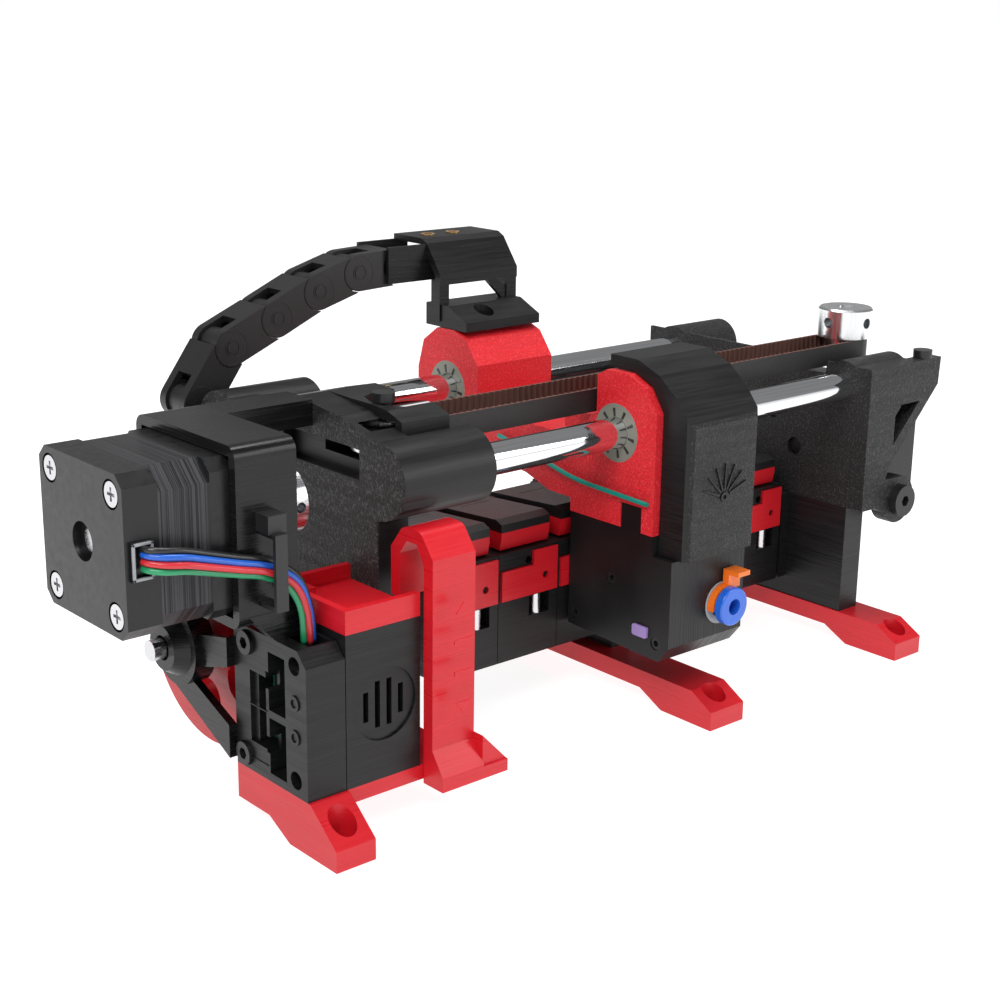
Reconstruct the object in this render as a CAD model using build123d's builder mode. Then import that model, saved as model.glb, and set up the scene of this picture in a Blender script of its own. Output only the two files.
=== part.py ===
from build123d import *
import math
import os

os.makedirs("parts", exist_ok=True)

# Multi-lane filament feeder and selector, millimetres, +Z up.
# Origin: on the bench plane, midway between the two guide rods, at the middle foot.
# +X runs along the guide rods from the gear motor to the selector motor.
# -Y is the outlet side, where the selector's tube collet faces.

# ---------------------------------------------------------------- driving dimensions
ROD_R = 4.0            # guide rods, 8 mm
ROD_Y = 33.35          # half of the rod spacing
ROD_Z = 76.0           # height of the rod axes
ROD_X0, ROD_X1 = -90.0, 90.0

SHAFT_R = 2.5          # drive shaft, 5 mm
SHAFT_Z = 35.6
SHAFT_X0, SHAFT_X1 = -133.8, 82.5

MOTOR = 35.2           # square of both stepper motors
MOTOR_HOLES = 26.0     # their screw spacing
GM_Y, GM_Z = -17.3, 71.0               # gear motor axis
GM_X0, GM_X1 = -157.7, -130.5          # rear face, front face
SM_X, SM_Y = 90.8, -18.0               # selector motor axis
SM_Z0, SM_Z1 = 41.0, 67.0

WHEEL_R = 80 * 2.0 / math.pi / 2       # pitch radius of the 80 tooth belt wheel
PINION_R = 20 * 2.0 / math.pi / 2      # pitch radius of the 20 tooth pulleys
WHEEL_X0, WHEEL_X1 = -118.5, -110.5

PITCH = 20.6           # from one filament lane to the next
LANE_W = 20.4
LANES = [-62.8, -42.2, -21.6, 6.6, 27.2, 47.8]     # left side of each lane block
BLOCK_Y0, BLOCK_Y1 = -16.35, 17.0
BLOCK_Z0, BLOCK_Z1 = 14.5, 44.0
IDLER_Z = SHAFT_Z + 10.6
ARM_PIVOT_Y, ARM_PIVOT_Z = 13.0, 47.2

BELT_Z0, BELT_Z1 = 79.8, 85.8
IDLER_X = -80.0

CART_X0, CART_X1 = -18.7, 9.0
BRG_R = 7.5            # linear bearing, 8 x 15 x 24
FOOT_TOP = 9.0


def bar(x0, x1, y0, y1, z0, z1, mode=Mode.ADD):
    """A rectangular block between two corners."""
    with Locations(((x0 + x1) / 2, (y0 + y1) / 2, (z0 + z1) / 2)):
        return Box(x1 - x0, y1 - y0, z1 - z0, mode=mode)


def rodx(x0, x1, y, z, r, mode=Mode.ADD):
    """A cylinder along X."""
    with Locations(Location(((x0 + x1) / 2, y, z), (0, 90, 0))):
        return Cylinder(r, x1 - x0, mode=mode)


def rody(y0, y1, x, z, r, mode=Mode.ADD):
    """A cylinder along Y."""
    with Locations(Location((x, (y0 + y1) / 2, z), (90, 0, 0))):
        return Cylinder(r, y1 - y0, mode=mode)


def rodz(z0, z1, x, y, r, mode=Mode.ADD):
    """A cylinder along Z."""
    with Locations((x, y, (z0 + z1) / 2)):
        return Cylinder(r, z1 - z0, mode=mode)


def slab_x(pts, x0, x1, mode=Mode.ADD):
    """A (y, z) outline extruded along X."""
    with BuildSketch(Plane.YZ.offset(x0)) as s:
        with BuildLine():
            Polyline(*pts, close=True)
        make_face()
    return extrude(s.sketch, amount=x1 - x0, mode=mode)


def slab_y(pts, y0, y1, mode=Mode.ADD):
    """An (x, z) outline extruded along Y."""
    with BuildSketch(Plane.XZ.offset(-y1)) as s:
        with BuildLine():
            Polyline(*pts, close=True)
        make_face()
    return extrude(s.sketch, amount=y1 - y0, mode=mode)


def save(piece, name):
    piece.part.label = name
    export_step(piece.part, "parts/" + name + ".step")


# ================================================================ base and feet
def foot_outline(y_in, sign, top):
    """Half of a foot: a thin bar that drops to a sloping toe on the bench."""
    s = sign
    return [(s * y_in, 4.0), (s * 33.0, 4.0), (s * 41.0, 0.0), (s * 58.6, 0.0),
            (s * 58.6, 5.0), (s * 51.5, top), (s * y_in, top)]


with BuildPart() as left_base:
    slab_x([(-20.5, FOOT_TOP - 5), (-33, FOOT_TOP - 5), (-41, 0), (-58.6, 0), (-58.6, 5.0), (-49.2, 12.6), (-48.35, 12.6), (-48.35, 12.6), (-20.5, 12.6)][:6]
           + [(-20.5, 12.6)], -124.0, -113.5)
    bar(-113.5, -80.0, -48.35, -20.5, FOOT_TOP, 12.6)
    bar(-93.0, -80.0, -21.0, 48.35, FOOT_TOP, 12.6)
    slab_x([(20.5, 4.0), (33, 4.0), (41, 0), (58.6, 0), (58.6, 5.0), (49.2, 12.6), (20.5, 12.6)], -93.0, -82.5)
    rodz(-1, 14, -118.75, -53.6, 1.7, Mode.SUBTRACT)
    rodz(3.0, 14, -118.75, -53.6, 3.2, Mode.SUBTRACT)
    rodz(-1, 14, -87.75, 53.6, 1.7, Mode.SUBTRACT)
    rodz(3.0, 14, -87.75, 53.6, 3.2, Mode.SUBTRACT)
save(left_base, "left_base")

with BuildPart() as cross_feet:
    slab_x(foot_outline(0, -1, FOOT_TOP) + foot_outline(0, 1, FOOT_TOP)[1:-1][::-1], -6.25, 6.25)
    for y in (-53.6, 53.6):
        rodz(-1, 14, 0, y, 1.7, Mode.SUBTRACT)
        rodz(3.0, 14, 0, y, 3.2, Mode.SUBTRACT)
    slab_x(foot_outline(0, -1, FOOT_TOP) + foot_outline(0, 1, FOOT_TOP)[1:-1][::-1], 71.5, 83.0)
    for y in (-53.6, 53.6):
        rodz(-1, 14, 77.25, y, 1.7, Mode.SUBTRACT)
        rodz(3.0, 14, 77.25, y, 3.2, Mode.SUBTRACT)
save(cross_feet, "cross_feet")

# ================================================================ electronics box
BOX_X0, BOX_X1 = -113.6, -93.2
BOX_Y0, BOX_Y1 = -48.35, -27.4
BOX_Z0, BOX_Z1 = 12.6, 48.7

with BuildPart() as electronics_box:
    bar(BOX_X0, BOX_X1, BOX_Y0, BOX_Y1, BOX_Z0, BOX_Z1)
    bar(BOX_X0 + 1.8, BOX_X1 - 1.8, BOX_Y0 + 2.0, BOX_Y1 - 1.6, BOX_Z0 + 1.6, BOX_Z1 + 1, Mode.SUBTRACT)
    bar(BOX_X0 - 1, BOX_X0 + 3, -44.5, -31.0, 15.5, 45.0, Mode.SUBTRACT)
    # vent: shallow round recess and four upright slots in the outlet-side wall
    with Locations(Location((-103.1, BOX_Y0, 30.4), (90, 0, 0))):
        Cylinder(8.6, 1.2, mode=Mode.SUBTRACT)
    for dx, h in ((-4.8, 7.0), (-1.6, 11.0), (1.6, 11.0), (4.8, 7.0)):
        bar(-103.1 + dx - 0.7, -103.1 + dx + 0.7, BOX_Y0 - 1, BOX_Y0 + 3, 30.4 - h / 2, 30.4 + h / 2, Mode.SUBTRACT)
save(electronics_box, "electronics_box")

with BuildPart() as control_board:
    # upright circuit board with the three port connectors on its edge
    bar(-111.3, -95.2, -32.4, -30.8, 15.6, 46.0)
    bar(-110.5, -103.5, -36.4, -32.4, 20.0, 27.0)
    bar(-101.5, -96.0, -35.2, -32.4, 31.0, 40.0)
    # sockets behind the panel's ports
    for y0, y1, z0, z1 in ((-32.5, -29.0, 20.4, 36.6), (-40.0, -34.4, 30.1, 43.0), (-40.0, -34.4, 15.0, 27.5)):
        bar(-119.5, -115.2, y0, y1, z0, z1)
        bar(-120.5, -116.5, y0 + 0.8, y1 - 0.8, z0 + 1, z1 - 1, Mode.SUBTRACT)
save(control_board, "control_board")

PORTS = [(-32.9, -26.6, 20.0, 37.0), (-40.4, -34.0, 29.7, 43.4), (-40.4, -34.0, 14.6, 27.9)]
with BuildPart() as connector_panel:
    bar(-124.0, -113.8, -48.35, -27.4, BOX_Z0, 46.8)
    bar(-124.0, -121.2, -27.4, -20.5, BOX_Z0, 46.8)
    slab_x([(-48.4, 43.4), (-48.4, 47), (-45, 47)], -124.5, -113.0, Mode.SUBTRACT)
    for y0, y1, z0, z1 in PORTS[1:]:
        bar(-125, -115.2, y0, y1, z0, z1, Mode.SUBTRACT)
        bar(-125, -121.0, y1 - 0.1, y1 + 1.1, (z0 + z1) / 2 - 2, (z0 + z1) / 2 + 2, Mode.SUBTRACT)
    bar(-125, -115.2, -32.9, -28.6, 20.0, 37.0, Mode.SUBTRACT)
    bar(-125, -123.0, -28.7, -26.6, 20.0, 37.0, Mode.SUBTRACT)
    for z in (43.0, 16.4):
        rodx(-125, -116.0, -44.0, z, 2.1, Mode.SUBTRACT)
    for y, z in ((-25.8, 43.2), (-24.3, 16.2)):
        rodx(-125, -120.9, y, z, 1.5, Mode.SUBTRACT)
        rodx(-125, -122.6, y, z, 2.9, Mode.SUBTRACT)
    # entry slot for the motor leads in the top
    bar(-120.6, -114.8, -44.6, -36.2, 44.0, 48.0, Mode.SUBTRACT)
save(connector_panel, "connector_panel")

with BuildPart() as box_lid:
    bar(-113.6, -93.2, BOX_Y0, -20.6, BOX_Z1, 54.1)
    bar(-111.8, -92.0, BOX_Y0 + 1.8, -22.4, BOX_Z1 + 1.8, 55, Mode.SUBTRACT)
    bar(-111.8, -106.5, -27.5, -22.4, BOX_Z1 + 1.8, 52.6)
    # the wheel turns beside the box, so the lid is cut back there
    bar(-120, -109.6, -27.2, -20.0, 48.0, 56.0, Mode.SUBTRACT)
save(box_lid, "box_lid")

with BuildPart() as side_strap:
    with BuildSketch(Plane.YZ.offset(-92.4)) as s:
        with BuildLine():
            Polyline((-48.6, 8.0), (-48.6, 60.0), (-46.0, 64.4), (-42.6, 64.4), (-40.0, 61.0),
                     (-40.0, 50.5), (-36.8, 50.5), (-36.8, 62.0), (-41.2, 67.6), (-47.4, 67.6),
                     (-51.8, 62.0), (-51.8, 17.0), (-55.6, 11.5), (-55.6, 8.0), close=True)
        make_face()
    extrude(s.sketch, amount=12.2)
    fillet(side_strap.edges().filter_by(Axis.X).group_by(Axis.Z)[-1], 3.0)
    bar(-80.3, -73.0, -55.6, -48.6, 8.0, 11.0)
    slab_y([(-80.2, 8.0), (-73.0, 8.0), (-73.0, 11.0), (-80.2, 18.5)], -55.0, -49.2)
save(side_strap, "side_strap")

# ================================================================ gear motor
def motor_square(x0, x1, corner):
    with BuildSketch(Plane.YZ.offset(x0)) as s:
        with Locations((GM_Y, GM_Z)):
            Rectangle(MOTOR, MOTOR)
            if corner:
                chamfer(s.vertices(), corner)
    return extrude(s.sketch, amount=x1 - x0)


with BuildPart() as gear_motor_caps:
    motor_square(GM_X0, -149.7, 2.6)
    motor_square(-137.6, GM_X1, 2.6)
    rodx(GM_X1 - 1, GM_X1 + 2.0, GM_Y, GM_Z, 11.0)
    for y in (-MOTOR_HOLES / 2, MOTOR_HOLES / 2):
        for z in (-MOTOR_HOLES / 2, MOTOR_HOLES / 2):
            rodx(GM_X0 - 1, GM_X0 + 2.2, GM_Y + y, GM_Z + z, 3.2, Mode.SUBTRACT)
            rodx(-134.5, GM_X1 + 1, GM_Y + y, GM_Z + z, 1.25, Mode.SUBTRACT)
    rodx(GM_X0 - 1, -128.0, GM_Y, GM_Z, 2.56, Mode.SUBTRACT)
    rodx(GM_X0 - 1, GM_X0 + 2.0, GM_Y, GM_Z, 4.3, Mode.SUBTRACT)
    # plug of the leads
    bar(-156.6, -151.6, -35.6, -34.9, 66.4, 74.8)
    bar(-155.5, -152.7, -36, -34.4, 67.0, 74.2, Mode.SUBTRACT)
save(gear_motor_caps, "gear_motor_caps")

with BuildPart() as gear_motor_stator:
    motor_square(-149.7, -137.6, 4.6)
    rodx(-150, -137.0, GM_Y, GM_Z, 2.56, Mode.SUBTRACT)
save(gear_motor_stator, "gear_motor_stator")

with BuildPart() as gear_motor_rotor:
    rodx(-119.6, -118.5, GM_Y, GM_Z, 8.0)
    rodx(-118.5, -110.5, GM_Y, GM_Z, PINION_R - 0.45)
    rodx(-110.5, -106.5, GM_Y, GM_Z, 8.0)
    rodx(-120, -106, GM_Y, GM_Z, SHAFT_R, Mode.SUBTRACT)
    rody(-26, -18, -108.5, GM_Z, 1.25, Mode.SUBTRACT)
    add(Solid.make_cylinder(SHAFT_R, 49.4, Plane(origin=(-155.9, GM_Y, GM_Z), z_dir=(1, 0, 0))), mode=Mode.ADD)
save(gear_motor_rotor, "gear_motor_rotor")

# four leads from the motor through the tie into the top of the panel
LEADS = {"black": (0.0, 2.7), "blue": (-0.6, 0.9), "red": (0.1, -0.9), "green": (0.9, -2.7)}
lead_solids = []
for lead_name, (dy, dz) in LEADS.items():
    k = dz / 2.7
    pts = [(-154.1, -35.0, 70.6 + dz * 0.9), (-154.1 + 1.2, -38.8 + dy, 70.4 + dz * 0.9),
           (-145.0, -40.8 + dy, 69.6 + dz * 0.9), (-133.0, -40.9 + dy, 67.8 + dz * 0.9),
           (-123.0, -40.6 + dy * 1.6, 65.0 + dz * 0.9), (-118.2 + k * 1.5, -40.4 + dy * 2, 58.5 + dz * 0.7),
           (-117.6 + k * 1.9, -40.4 + dy * 2, 45.0)]
    with BuildPart() as lead:
        with BuildLine() as route:
            legs = [Vector(*b) - Vector(*a) for a, b in zip(pts, pts[1:])]
            radii = []
            for a, b in zip(legs, legs[1:]):
                turn = math.radians(a.get_angle(b))
                radii.append(0.45 * min(a.length, b.length) / math.tan(turn / 2))
            FilletPolyline(*pts, radius=radii)
        with BuildSketch(Plane(origin=pts[0], z_dir=legs[0])):
            Circle(0.75)
        sweep()
    run = route.wires()[0].length
    print(lead_name, "length", round(run, 1), "radii", [round(r, 1) for r in radii],
          "volume ratio", round(lead.part.volume / (math.pi * 0.5625 * run), 3))
    lead_solids.append(lead.part.solids()[0])

with BuildPart() as motor_leads:
    for item in lead_solids:
        add(item)
save(motor_leads, "motor_leads")

with BuildPart() as zip_tie:
    # flat band round the leads and the bracket's wall, with its square head
    bar(-127.6, -124.6, -43.6, -42.6, 55.6, 72.6)
    bar(-127.6, -124.6, -43.6, -37.45, 71.6, 72.6)
    bar(-127.6, -124.6, -43.6, -37.45, 55.6, 56.6)
    bar(-128.4, -123.8, -42.2, -37.45, 72.6, 76.6)
save(zip_tie, "zip_tie")

# ================================================================ drive bracket
BR_Y0, BR_Y1, BR_Z0, BR_Z1 = -37.4, 2.8, 50.9, 91.1
with BuildPart() as drive_bracket:
    # shell round the motor's front cap
    with BuildSketch(Plane.YZ.offset(-133.0)) as s:
        with Locations((GM_Y, GM_Z)):
            RectangleRounded(40.2, 40.2, 3.0)
            Rectangle(MOTOR + 0.3, MOTOR + 0.3, mode=Mode.SUBTRACT)
    extrude(s.sketch, amount=15.2)
    # front plate with the pilot hole and screw holes
    with BuildSketch(Plane.YZ.offset(GM_X1)) as s2:
        with Locations((GM_Y, GM_Z)):
            Rectangle(38.0, 38.0)
            Circle(11.1, mode=Mode.SUBTRACT)
            with GridLocations(MOTOR_HOLES, MOTOR_HOLES, 2, 2):
                Circle(1.6, mode=Mode.SUBTRACT)
    extrude(s2.sketch, amount=3.0)
    # wheel and belt run out of the shell's underside and back
    bar(-119.4, -117.0, -31.0, 4.0, 49.0, 63.0, Mode.SUBTRACT)
    # leg down to the panel's top on the outlet side
    slab_y([(-130.5, 53.5), (-117.8, 53.5), (-116.2, 46.8), (-124.0, 46.8)], -37.4, -33.6)
    # hub of the outboard shaft bearing, with its web up to the shell
    with BuildSketch(Plane.YZ.offset(-127.5)) as s3:
        with Locations((0, SHAFT_Z)):
            Circle(9.6)
    extrude(s3.sketch, amount=5.4)
    with Locations(Location((-128.6, 0, SHAFT_Z), (0, 90, 0))):
        Cone(5.4, 8.2, 4.0)
    bar(-126.0, -122.4, -3.6, 2.8, SHAFT_Z + 6, 54.0)
    slab_x([(-3, 29), (3, 25), (-20.5, 14.0), (-20.5, 22.0)], -126.0, -124.0)
    slab_x([(-7, 40), (-7, 32), (-20.5, 36.0), (-20.5, 43.0)], -126.0, -124.0)
    rodx(-128.0, -121.0, 0, SHAFT_Z, 5.0, Mode.SUBTRACT)
    rodx(-132.0, -126.0, 0, SHAFT_Z, 3.0, Mode.SUBTRACT)
    # top strut to the left end block
    bar(-118.2, -93.05, -8.0, 2.8, 84.2, 90.4)
save(drive_bracket, "drive_bracket")

with BuildPart() as shaft_bearings:
    for x0 in (-127.0, 0.0, 73.5):
        rodx(x0, x0 + 4.0, 0, SHAFT_Z, 8.0 if x0 == 0.0 else 5.0)
        rodx(x0 - 1, x0 + 5.0, 0, SHAFT_Z, SHAFT_R + 0.05, Mode.SUBTRACT)
save(shaft_bearings, "shaft_bearings")

with BuildPart() as drive_shaft:
    rodx(SHAFT_X0, SHAFT_X1, 0, SHAFT_Z, SHAFT_R)
save(drive_shaft, "drive_shaft")

with BuildPart() as drive_wheel:
    rodx(WHEEL_X0, WHEEL_X1, 0, SHAFT_Z, WHEEL_R - 0.45)
    rodx(WHEEL_X0 - 0.01, WHEEL_X0 + 1.0, 0, SHAFT_Z, WHEEL_R + 0.9)
    rodx(WHEEL_X1 - 1.0, WHEEL_X1, 0, SHAFT_Z, WHEEL_R + 0.9)
    with Locations(Location((WHEEL_X0, 0, SHAFT_Z), (0, 90, 0))):
        with PolarLocations(15.5, 6):
            Cylinder(5.0, 40, mode=Mode.SUBTRACT)
    rodx(WHEEL_X0 - 1, WHEEL_X1 + 1, 0, SHAFT_Z, SHAFT_R, Mode.SUBTRACT)
save(drive_wheel, "drive_wheel")

with BuildPart() as drive_belt:
    # closed 188 mm belt from the motor's pulley to the wheel, toothed side inwards
    cx, cz, px, pz = 0.0, SHAFT_Z, GM_Y, GM_Z
    dist = math.hypot(px - cx, pz - cz)
    base = math.degrees(math.atan2(pz - cz, px - cx))
    lean = math.degrees(math.acos((WHEEL_R - PINION_R) / dist))

    def rim(c, r, ang):
        return (c[0] + r * math.cos(math.radians(ang)), c[1] + r * math.sin(math.radians(ang)))

    def belt_face(extra):
        big, small = WHEEL_R + extra, PINION_R + extra
        a, b = base - lean, base + lean
        with BuildSketch(Plane.YZ.offset(-117.4)) as f:
            with BuildLine():
                Line(rim((cx, cz), big, a), rim((px, pz), small, a))
                ThreePointArc(rim((px, pz), small, a), rim((px, pz), small, base), rim((px, pz), small, b))
                Line(rim((px, pz), small, b), rim((cx, cz), big, b))
                ThreePointArc(rim((cx, cz), big, b), rim((cx, cz), big, base + 180), rim((cx, cz), big, a))
            make_face()
        return f.sketch

    extrude(belt_face(0.85), amount=5.8)
    extrude(belt_face(-0.4), amount=5.8, mode=Mode.SUBTRACT)
save(drive_belt, "drive_belt")

# ================================================================ left end block and rods
with BuildPart() as left_end_block:
    # upright plate with a humped top
    slab_x([(-32.4, 12.6), (32.4, 12.6), (32.4, 66.0), (42.5, 72.0), (42.5, 79.0), (33.2, 83.6), (20.0, 84.4),
            (10.7, 87.1), (-1.4, 90.1), (-9.0, 89.3), (-18.2, 88.4), (-22.7, 87.0), (-33.0, 84.9), (-40.0, 82.0),
            (-42.3, 77.0), (-41.5, 71.0), (-32.4, 66.4)], -93.0, -84.0)
    # sockets of the two rods
    rodx(-93.0, -66.0, -ROD_Y, ROD_Z, 9.0)
    rodx(-93.0, -66.0, ROD_Y, ROD_Z, 9.0)
    # shelf over the idler
    slab_x([(-30.0, 87.6), (-30.0, 84.4), (-27.6, 84.4), (-27.6, 87.2), (-8.4, 87.2), (-8.4, 74.6), (20.0, 74.6), (20.0, 84.4),
            (10.7, 87.1), (-1.4, 90.1), (-9.0, 89.9), (-18.2, 89.9), (-24.7, 89.4)], -84.0, -70.0)
    bar(-84.0, -70.0, -27.6, -8.4, 74.6, 78.0)
    bar(-84.0, -70.0, -30.0, -27.6, 76.0, 87.0)
    # room for the idler and the belt
    bar(-90.6, -69.0, -27.2, -8.6, 78.2, 87.2, Mode.SUBTRACT)
    rodz(70.0, 95.0, IDLER_X, SM_Y, 1.5, Mode.SUBTRACT)
    # windows in the plate
    bar(-94, -90.0, -26.0, 4.5, 74.8, 82.0, Mode.SUBTRACT)
    bar(-94, -83.0, 11.5, 18.0, 76.5, 82.0, Mode.SUBTRACT)
    with BuildSketch(Plane.XY.offset(86.0)) as slot:
        with Locations((-77.0, 1.5)):
            SlotOverall(10.0, 4.4)
    extrude(slot.sketch, amount=6.0, mode=Mode.SUBTRACT)
    # the shelf's edge is hooked round the belt
    with BuildSketch(Plane.XY.offset(84.0)) as hook:
        with BuildLine():
            Polyline((-69.0, -24.0), (-78.0, -24.0), (-82.0, -20.5), (-82.5, -16.0), (-80.5, -11.0), (-76.0, -9.0), (-69.0, -9.0), (-69.0, -24.0))
        make_face()
    extrude(hook.sketch, amount=8.0, mode=Mode.SUBTRACT)
    # blind rod bores and shaft clearance
    rodx(ROD_X0, -60.0, -ROD_Y, ROD_Z, ROD_R, Mode.SUBTRACT)
    rodx(ROD_X0, -60.0, ROD_Y, ROD_Z, ROD_R, Mode.SUBTRACT)
    rodx(-94.0, -83.0, 0, SHAFT_Z, 3.4, Mode.SUBTRACT)
    bar(-94, -83.0, -22.0, -10.0, 24.0, 50.0, Mode.SUBTRACT)
    bar(-94, -83.0, 10.0, 22.0, 24.0, 60.0, Mode.SUBTRACT)
save(left_end_block, "left_end_block")

with BuildPart() as guide_rods:
    for y in (-ROD_Y, ROD_Y):
        rodx(ROD_X0, ROD_X1, y, ROD_Z, ROD_R)
    chamfer(guide_rods.edges().filter_by(GeomType.CIRCLE), 0.5)
save(guide_rods, "guide_rods")

with BuildPart() as idler_pulley:
    rodz(79.0, 79.7, IDLER_X, SM_Y, 8.0)
    rodz(79.7, 85.9, IDLER_X, SM_Y, PINION_R - 0.45)
    rodz(85.9, 86.6, IDLER_X, SM_Y, 8.0)
    rodz(78, 88, IDLER_X, SM_Y, 1.56, Mode.SUBTRACT)
save(idler_pulley, "idler_pulley")

with BuildPart() as selector_belt:
    for r, m in ((PINION_R + 0.85, Mode.ADD), (PINION_R - 0.4, Mode.SUBTRACT)):
        with BuildSketch(Plane.XY.offset(BELT_Z0)) as s:
            with Locations(((SM_X + IDLER_X) / 2, SM_Y)):
                SlotCenterToCenter(SM_X - IDLER_X, 2 * r)
        extrude(s.sketch, amount=BELT_Z1 - BELT_Z0, mode=m)
save(selector_belt, "selector_belt")

# ================================================================ filament lanes
with BuildPart() as filament_blocks:
    for x in LANES:
        bar(x, x + LANE_W, BLOCK_Y0, BLOCK_Y1, BLOCK_Z0, BLOCK_Z1)
        # ears for the arm's hinge pin
        bar(x, x + 1.6, 10.2, 15.8, BLOCK_Z1 - 0.5, 49.8)
        bar(x + LANE_W - 1.6, x + LANE_W, 10.2, 15.8, BLOCK_Z1 - 0.5, 49.8)
        rodx(x - 0.1, x + LANE_W + 0.1, ARM_PIVOT_Y, ARM_PIVOT_Z, 1.5, Mode.SUBTRACT)
        # gear chamber, shaft clearance and the filament's way through
        bar(x + 4.6, x + LANE_W - 4.6, -6.4, 6.4, SHAFT_Z - 6.0, 45.0, Mode.SUBTRACT)
        rodx(x - 1, x + LANE_W + 1, 0, SHAFT_Z, 3.0, Mode.SUBTRACT)
        rody(BLOCK_Y0 - 1, BLOCK_Y1 + 1, x + LANE_W / 2, SHAFT_Z + 5.3, 1.05, Mode.SUBTRACT)
        # pocket of the steel pin in the outlet face
        bar(x + 10.6, x + 17.6, BLOCK_Y0 - 1, BLOCK_Y0 + 3.6, 25.4, 30.9, Mode.SUBTRACT)
save(filament_blocks, "filament_blocks")

with BuildPart() as latch_plates:
    for x in LANES:
        slab_y([(x + 0.6, 31.4), (x + LANE_W - 0.6, 31.4), (x + LANE_W - 0.6, 43.2), (x + 11.4, 43.2),
                (x + 11.4, 39.4), (x + 0.6, 39.4)], BLOCK_Y0 - 0.75, BLOCK_Y0)
        rody(BLOCK_Y0 - 2, BLOCK_Y0 + 1, x + LANE_W / 2, SHAFT_Z + 5.3, 1.3, Mode.SUBTRACT)
        rody(BLOCK_Y0 - 2, BLOCK_Y0 + 1, x + 15.6, 36.0, 1.0, Mode.SUBTRACT)
save(latch_plates, "latch_plates")

with BuildPart() as drive_gears:
    # one hobbed gear per lane, on the drive shaft
    for x in LANES:
        rodx(x + LANE_W / 2 - 4.5, x + LANE_W / 2 + 4.5, 0, SHAFT_Z, 4.6)
        with Locations(Location((x + LANE_W / 2, 0, SHAFT_Z), (0, 90, 0))):
            Torus(5.6, 1.35, mode=Mode.SUBTRACT)
        rodx(x, x + LANE_W, 0, SHAFT_Z, SHAFT_R, Mode.SUBTRACT)
save(drive_gears, "drive_gears")

for n, x in enumerate(LANES, 1):
    xc = x + LANE_W / 2
    with BuildPart() as arm:
        slab_x([(-14.4, 44.5), (14.2, 44.9), (15.0, 46.4), (15.0, 49.2), (13.0, 50.4), (-12.6, 52.4), (-15.0, 51.4), (-15.0, 47.6)],
               x + 1.9, x + LANE_W - 1.9)
        rodx(x, x + LANE_W, ARM_PIVOT_Y, ARM_PIVOT_Z, 1.56, Mode.SUBTRACT)
        bar(xc - 4.9, xc + 4.9, -5.6, 5.6, 44.0, 51.0, Mode.SUBTRACT)
        rodx(xc - 7.1, xc + 7.1, 0, IDLER_Z, 1.56, Mode.SUBTRACT)
    save(arm, "top_arm_%d" % n)
    with BuildPart() as gear:
        rodx(xc - 4.5, xc + 4.5, 0, IDLER_Z, 4.6)
        with Locations(Location((xc, 0, IDLER_Z), (0, 90, 0))):
            Torus(5.6, 1.35, mode=Mode.SUBTRACT)
        rodx(xc - 7.0, xc + 7.0, 0, IDLER_Z, 1.5)
    save(gear, "idler_gear_%d" % n)

with BuildPart() as support_plates:
    bar(-0.9, 6.5, -16.6, 17.0, FOOT_TOP, 50.0)
    rodx(-2, 8, 0, SHAFT_Z, 3.0, Mode.SUBTRACT)
    rodx(-0.95, 4.0, 0, SHAFT_Z, 8.0, Mode.SUBTRACT)
    bar(72.0, 80.0, -37.5, 37.5, FOOT_TOP, 40.6)
    bar(69.0, 72.0, -16.3, 17.0, 14.5, 40.6)
    rodx(68, 81, 0, SHAFT_Z, 3.0, Mode.SUBTRACT)
    rodx(73.5, 77.5, 0, SHAFT_Z, 5.0, Mode.SUBTRACT)
save(support_plates, "support_plates")

# ================================================================ right end
with BuildPart() as right_end_block:
    # thin wall, with generic round windows
    bar(72.0, 73.0, -43.0, 43.0, 40.6, 82.0)
    for y, z, r in ((-8.0, 66.0, 4.0), (2.0, 58.0, 3.0), (13.0, 66.0, 4.6), (-17.0, 55.0, 2.6)):
        rodx(71, 74, y, z, r, Mode.SUBTRACT)
    bar(71, 74.0, -27.0, -9.0, 78.4, 90.0, Mode.SUBTRACT)
    # motor plate
    bar(72.0, 109.0, -36.2, 4.0, SM_Z1, 70.6)
    # sockets of the rods, squared off at the outlet side
    rodx(72.0, 94.0, -ROD_Y, ROD_Z, 7.2)
    bar(72.0, 94.0, -43.0, -36.0, 68.0, 82.0)
    rodx(72.0, 94.0, ROD_Y, ROD_Z, 7.2)
    bar(72.0, 94.0, 4.0, 27.6, 70.6, 75.0)
    bar(72.0, 94.0, 2.0, 4.4, SM_Z1, 75.0)
    # side cheek with the raking arm and its window
    slab_y([(72.0, 40.6), (80.0, 40.6), (83.0, 52.0), (104.0, 74.0), (104.5, 82.0), (72.0, 82.0)], -43.0, -38.4)
    slab_y([(84.5, 58.5), (95.5, 70.0), (84.5, 70.0)], -44.0, -38.0, Mode.SUBTRACT)
    # round boss of the side screw
    rody(-43.0, -38.4, 89.0, 41.5, 7.0)
    slab_y([(78.0, 40.6), (78.0, 48.6), (88.0, 48.4), (88.0, 36.0)], -43.0, -38.4)
    rody(-44.0, -38.0, 89.0, 41.5, 2.55, Mode.SUBTRACT)
    rodz(73.0, 83.0, 98.5, -40.7, 1.5, Mode.SUBTRACT)
    # bores
    rodx(71.0, ROD_X1, -ROD_Y, ROD_Z, ROD_R, Mode.SUBTRACT)
    rodx(71.0, ROD_X1, ROD_Y, ROD_Z, ROD_R, Mode.SUBTRACT)
    rodz(SM_Z1 - 1, 72.0, SM_X, SM_Y, 11.1, Mode.SUBTRACT)
    with Locations((SM_X, SM_Y, SM_Z1 + 2)):
        with GridLocations(MOTOR_HOLES, MOTOR_HOLES, 2, 2):
            Cylinder(1.6, 8, mode=Mode.SUBTRACT)
save(right_end_block, "right_end_block")

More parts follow.
